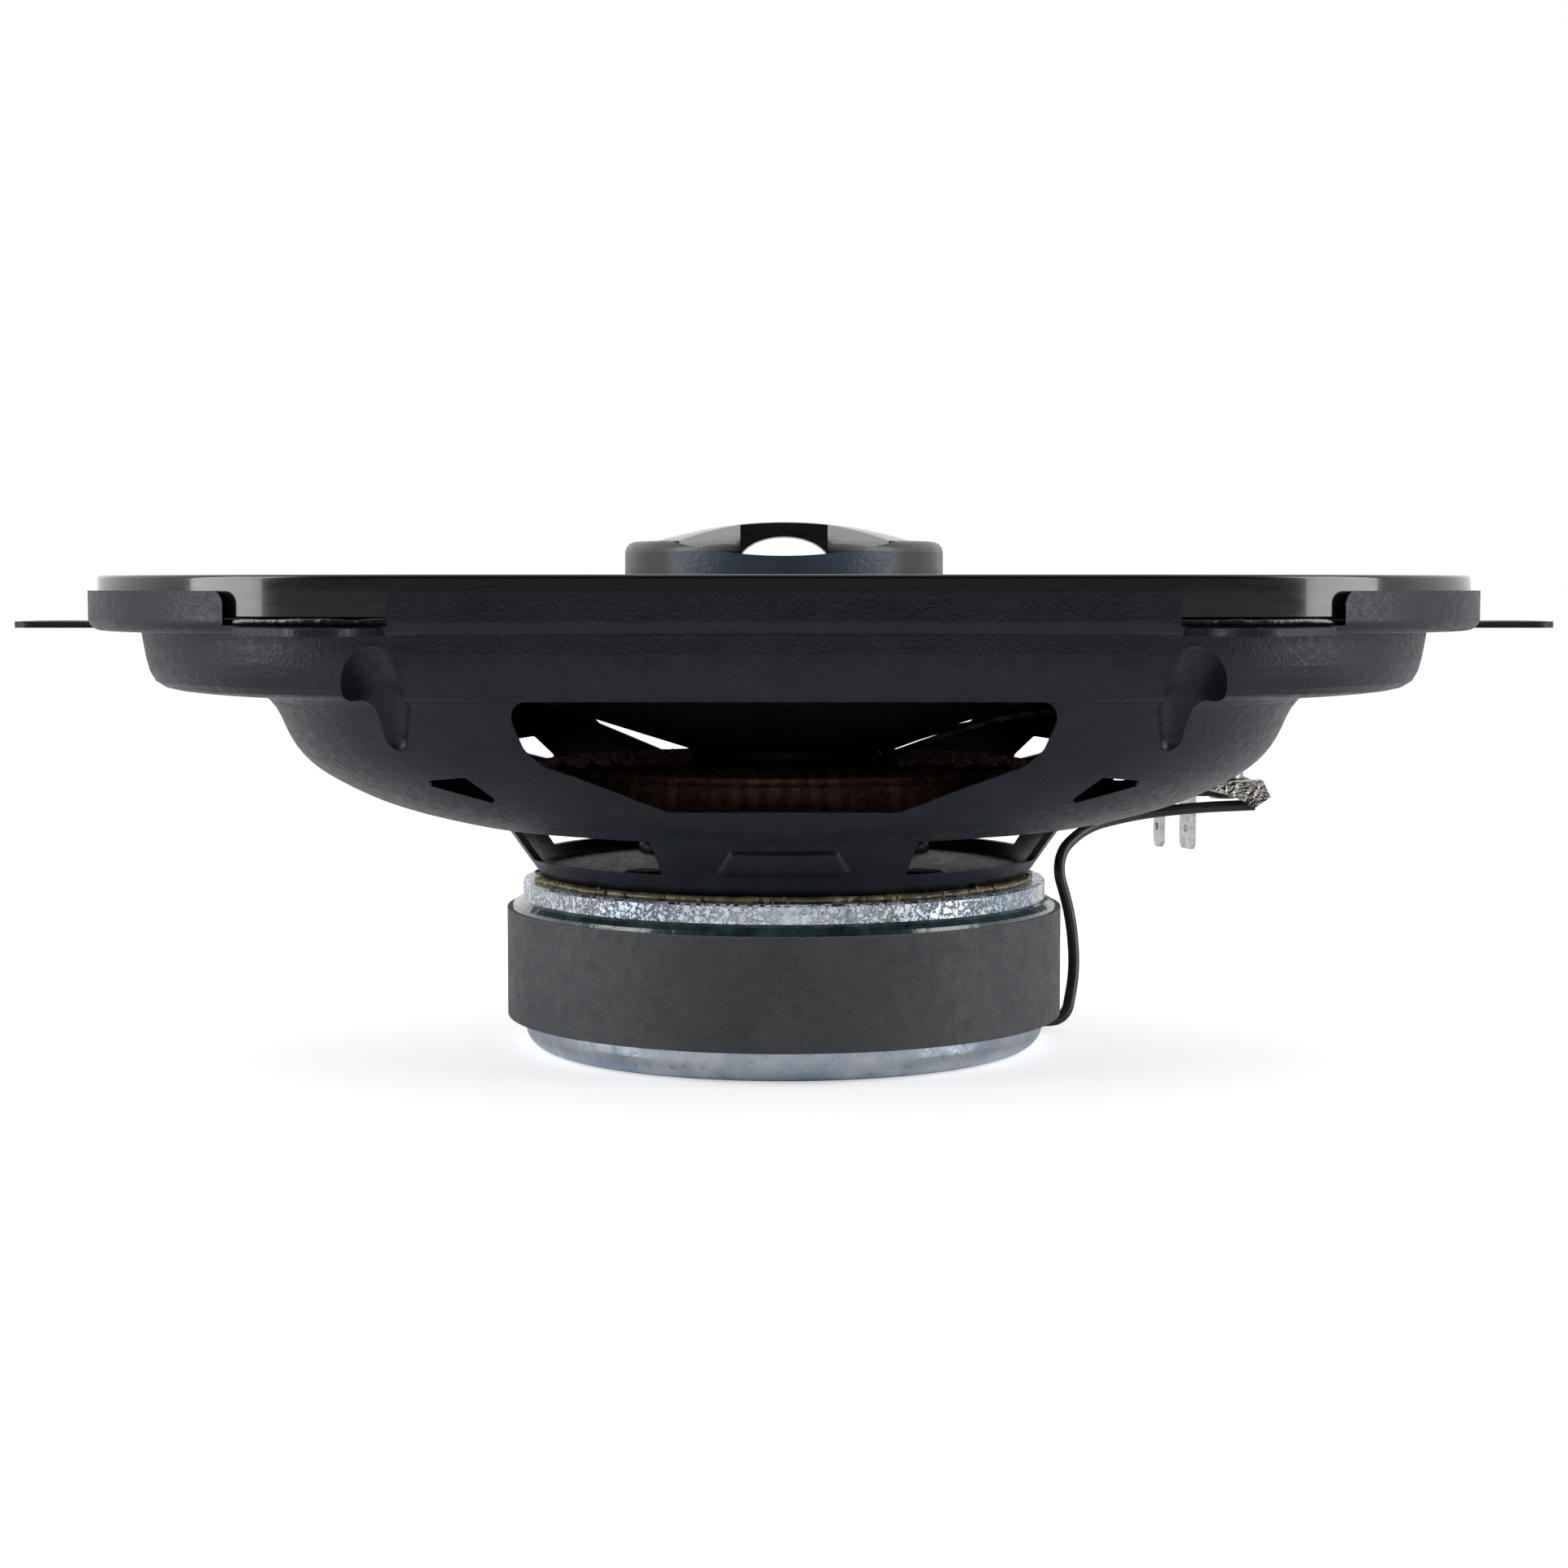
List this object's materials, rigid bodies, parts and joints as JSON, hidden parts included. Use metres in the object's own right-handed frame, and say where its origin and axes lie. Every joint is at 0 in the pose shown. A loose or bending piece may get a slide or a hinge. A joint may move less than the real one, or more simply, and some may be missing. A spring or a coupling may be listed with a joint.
{
  "type": "coaxial car loudspeaker",
  "caption": "Oval two-way coaxial loudspeaker with a pressed steel basket, ferrite motor and a bridge-mounted dome tweeter.",
  "frame": {"origin": "centre of the back plate's rear face, the lowest face of the motor", "axes": "+Z is the way the cone faces, +X is the oval's long way, towards the terminal end, and the pictured side is -Y"},
  "size_m": [0.2188, 0.1528, 0.0749],
  "materials": {
    "powder_coat": "black textured powder coat",
    "dark_rivet": "peened and smeared with dark lacquer",
    "amber_glue": "tan squeezed-out adhesive with bubbles",
    "zinc_plate": "bright zinc with a faint iridescence",
    "teal_glue": "dark glossy adhesive",
    "ferrite": "matte fired ferrite",
    "zinc_yoke": "bright zinc",
    "gloss_gasket": "glossy black moulded plastic",
    "rubber_edge": "soft black rubber",
    "spider_cloth": "resin-dipped brown woven cloth",
    "cone_paper": "black coated paper",
    "coil_former": "dark anodised foil",
    "coil_wire": "lacquered copper winding",
    "black_glue": "black glue",
    "lead_braid": "braided copper over cotton",
    "fibre_board": "dark pressed fibre",
    "tinned_blade": "tinned brass",
    "steel_rivet": "plated steel",
    "solder": "bright solder with flux",
    "capacitor_sleeve": "shrink sleeve",
    "hot_glue": "hot-melt glue",
    "lead_insulation": "soft black insulation",
    "post_plastic": "black glass-filled nylon",
    "nut_steel": "zinc plated",
    "pod_plastic": "satin grey plastic",
    "panel_plastic": "fine leather grain, blue-grey",
    "gloss_bezel": "glossy black",
    "tweeter_steel": "plated steel",
    "neodymium": "nickel plated",
    "tag_board": "pressed fibre",
    "face_ring_plastic": "black plastic",
    "tweeter_wire": "lacquered wire",
    "dome_film": "amber film",
    "dome_roll_film": "amber film"
  },
  "bodies": {
    "frame": {"basket": "powder_coat", "frame_rivets": "dark_rivet", "seat_adhesive": "amber_glue", "top_plate": "zinc_plate", "magnet_adhesive": "teal_glue", "ferrite_magnet": "ferrite", "yoke": "zinc_yoke", "gasket_ring": "gloss_gasket", "surround": "rubber_edge", "spider": "spider_cloth", "flexible_leads": "lead_braid", "terminal_board": "fibre_board", "blade_small": "tinned_blade", "blade_large": "tinned_blade", "terminal_rivet": "steel_rivet", "solder_joint": "solder", "capacitor": "capacitor_sleeve", "capacitor_adhesive": "hot_glue", "tweeter_lead": "lead_insulation", "tweeter_post": "post_plastic", "post_nut": "nut_steel", "tweeter_pod": "pod_plastic", "pod_panels": "panel_plastic", "tweeter_bezel": "gloss_bezel", "tweeter_pot": "tweeter_steel", "tweeter_magnet": "neodymium", "tweeter_pole_plate": "tweeter_steel", "tweeter_tag_board": "tag_board", "tweeter_face_ring": "face_ring_plastic", "tweeter_dome_roll": "dome_roll_film"},
    "cone_assembly": {"cone": "cone_paper", "voice_coil_former": "coil_former", "voice_coil_winding": "coil_wire", "neck_adhesive": "black_glue", "lead_pads": "black_glue"},
    "tweeter_diaphragm": {"tweeter_coil": "tweeter_wire", "tweeter_dome": "dome_film"}
  },
  "joints": [
    {"name": "cone_stroke", "type": "slide", "parent": "frame", "child": "cone_assembly", "axis": [0, 0, 1], "range_m": [-0.004, 0.004], "stiffness_N_per_m": 1800, "deforming": ["surround", "spider", "flexible_leads"]},
    {"name": "tweeter_stroke", "type": "slide", "parent": "frame", "child": "tweeter_diaphragm", "axis": [0, 0, 1], "range_m": [-0.0002, 0.0002], "stiffness_N_per_m": 400, "deforming": ["tweeter_dome_roll"]}
  ]
}
